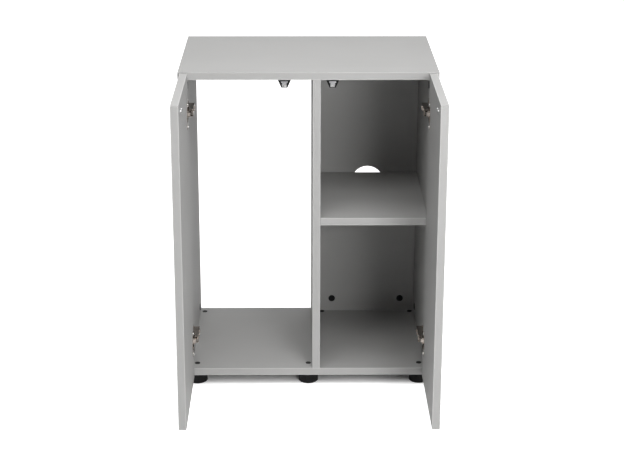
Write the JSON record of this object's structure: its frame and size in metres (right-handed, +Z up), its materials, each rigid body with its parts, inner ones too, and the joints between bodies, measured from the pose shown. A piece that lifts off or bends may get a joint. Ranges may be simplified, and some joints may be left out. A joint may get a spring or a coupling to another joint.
{
  "type": "aquarium stand cabinet",
  "caption": "Grey laminate aquarium stand cabinet with handleless double doors on concealed hinges, an open-backed bay, a shelved bay with a cable port, and levelling feet.",
  "frame": {"origin": "on the floor, under the middle of the cabinet with both doors open at a right angle", "axes": "+X to the right seen from the front, +Y to the back, +Z up"},
  "size_m": [0.6, 0.703, 0.78],
  "materials": {
    "carcass_laminate": "matt light grey melamine laminate on particle board, edges banded",
    "door_laminate": "matt light grey melamine laminate on particle board, edges banded",
    "black_plastic": "moulded, low sheen",
    "nickel_steel": "nickel plated pressed steel",
    "bright_steel": "bright zinc plated",
    "zinc": "die-cast zinc",
    "beech": "fluted beech"
  },
  "bodies": {
    "cabinet": {"top_panel": "carcass_laminate", "bottom_panel": "carcass_laminate", "left_side_panel": "carcass_laminate", "right_side_panel": "carcass_laminate", "centre_divider": "carcass_laminate", "back_panel": "carcass_laminate", "shelf": "carcass_laminate", "shelf_pins": "bright_steel", "cam_housings": "zinc", "cam_caps": "black_plastic", "cam_bolts": "bright_steel", "dowels": "beech", "foot_sockets": "black_plastic", "access_caps": "black_plastic", "left_lower_hinge_arm": "nickel_steel", "right_lower_hinge_arm": "nickel_steel", "left_upper_hinge_arm": "nickel_steel", "right_upper_hinge_arm": "nickel_steel", "left_lower_hinge_plate": "nickel_steel", "right_lower_hinge_plate": "nickel_steel", "left_upper_hinge_plate": "nickel_steel", "right_upper_hinge_plate": "nickel_steel", "hinge_arm_pins": "bright_steel", "hinge_plate_screws": "nickel_steel", "left_latch_housing": "black_plastic", "right_latch_housing": "black_plastic", "latch_screws": "nickel_steel"},
    "left_outer_links": {"left_lower_outer_link": "nickel_steel", "left_upper_outer_link": "nickel_steel"},
    "left_inner_links": {"left_lower_inner_link": "nickel_steel", "left_upper_inner_link": "nickel_steel"},
    "left_door": {"left_door_panel": "door_laminate", "left_lower_hinge_cup": "nickel_steel", "left_upper_hinge_cup": "nickel_steel", "left_cup_pins": "bright_steel", "left_cup_screws": "nickel_steel", "left_strike_plate": "bright_steel", "left_strike_screws": "bright_steel"},
    "left_latch": {"left_latch_plunger": "bright_steel", "left_latch_magnet": "bright_steel"},
    "right_outer_links": {"right_lower_outer_link": "nickel_steel", "right_upper_outer_link": "nickel_steel"},
    "right_inner_links": {"right_lower_inner_link": "nickel_steel", "right_upper_inner_link": "nickel_steel"},
    "right_door": {"right_door_panel": "door_laminate", "right_lower_hinge_cup": "nickel_steel", "right_upper_hinge_cup": "nickel_steel", "right_cup_pins": "bright_steel", "right_cup_screws": "nickel_steel", "right_strike_plate": "bright_steel", "right_strike_screws": "bright_steel"},
    "right_latch": {"right_latch_plunger": "bright_steel", "right_latch_magnet": "bright_steel"},
    "front_left_foot": {"front_left_foot": "black_plastic"},
    "front_middle_foot": {"front_middle_foot": "black_plastic"},
    "front_right_foot": {"front_right_foot": "black_plastic"},
    "back_left_foot": {"back_left_foot": "black_plastic"},
    "back_middle_foot": {"back_middle_foot": "black_plastic"},
    "back_right_foot": {"back_right_foot": "black_plastic"}
  },
  "joints": [
    {"name": "left_outer_link_pivot", "type": "hinge", "parent": "cabinet", "child": "left_outer_links", "pos_m": [-0.2726, -0.048, 0.4035], "axis": [0, 0, 1], "range_deg": [-40.2, 2.4]},
    {"name": "left_door_hinge", "type": "hinge", "parent": "left_outer_links", "child": "left_door", "pos_m": [-0.281, -0.0635, 0.4035], "axis": [0, 0, 1], "range_deg": [-7.2, 130]},
    {"name": "left_inner_link_pivot", "type": "hinge", "parent": "cabinet", "child": "left_inner_links", "pos_m": [-0.268, -0.0485, 0.4035], "axis": [0, 0, 1], "range_deg": [-28.4, 1.8]},
    {"name": "left_latch_plunger_slide", "type": "slide", "parent": "cabinet", "child": "left_latch", "axis": [0, 1, 0], "range_m": [-0.02, 0]},
    {"name": "right_outer_link_pivot", "type": "hinge", "parent": "cabinet", "child": "right_outer_links", "pos_m": [0.2726, -0.048, 0.4035], "axis": [0, 0, -1], "range_deg": [-40.2, 2.4]},
    {"name": "right_door_hinge", "type": "hinge", "parent": "right_outer_links", "child": "right_door", "pos_m": [0.281, -0.0635, 0.4035], "axis": [0, 0, -1], "range_deg": [-7.2, 130]},
    {"name": "right_inner_link_pivot", "type": "hinge", "parent": "cabinet", "child": "right_inner_links", "pos_m": [0.268, -0.0485, 0.4035], "axis": [0, 0, -1], "range_deg": [-28.4, 1.8]},
    {"name": "right_latch_plunger_slide", "type": "slide", "parent": "cabinet", "child": "right_latch", "axis": [0, 1, 0], "range_m": [-0.02, 0]},
    {"name": "front_left_foot_thread", "type": "slide", "parent": "cabinet", "child": "front_left_foot", "axis": [0, 0, -1], "range_m": [0, 0.01]},
    {"name": "front_middle_foot_thread", "type": "slide", "parent": "cabinet", "child": "front_middle_foot", "axis": [0, 0, -1], "range_m": [0, 0.01]},
    {"name": "front_right_foot_thread", "type": "slide", "parent": "cabinet", "child": "front_right_foot", "axis": [0, 0, -1], "range_m": [0, 0.01]},
    {"name": "back_left_foot_thread", "type": "slide", "parent": "cabinet", "child": "back_left_foot", "axis": [0, 0, -1], "range_m": [0, 0.01]},
    {"name": "back_middle_foot_thread", "type": "slide", "parent": "cabinet", "child": "back_middle_foot", "axis": [0, 0, -1], "range_m": [0, 0.01]},
    {"name": "back_right_foot_thread", "type": "slide", "parent": "cabinet", "child": "back_right_foot", "axis": [0, 0, -1], "range_m": [0, 0.01]}
  ],
  "couplings": [
    {"joint": "left_outer_link_pivot", "follows": "left_door_hinge", "ratio": -0.30769},
    {"joint": "left_inner_link_pivot", "follows": "left_door_hinge", "ratio": -0.21692},
    {"joint": "right_outer_link_pivot", "follows": "right_door_hinge", "ratio": -0.30769},
    {"joint": "right_inner_link_pivot", "follows": "right_door_hinge", "ratio": -0.21692}
  ]
}
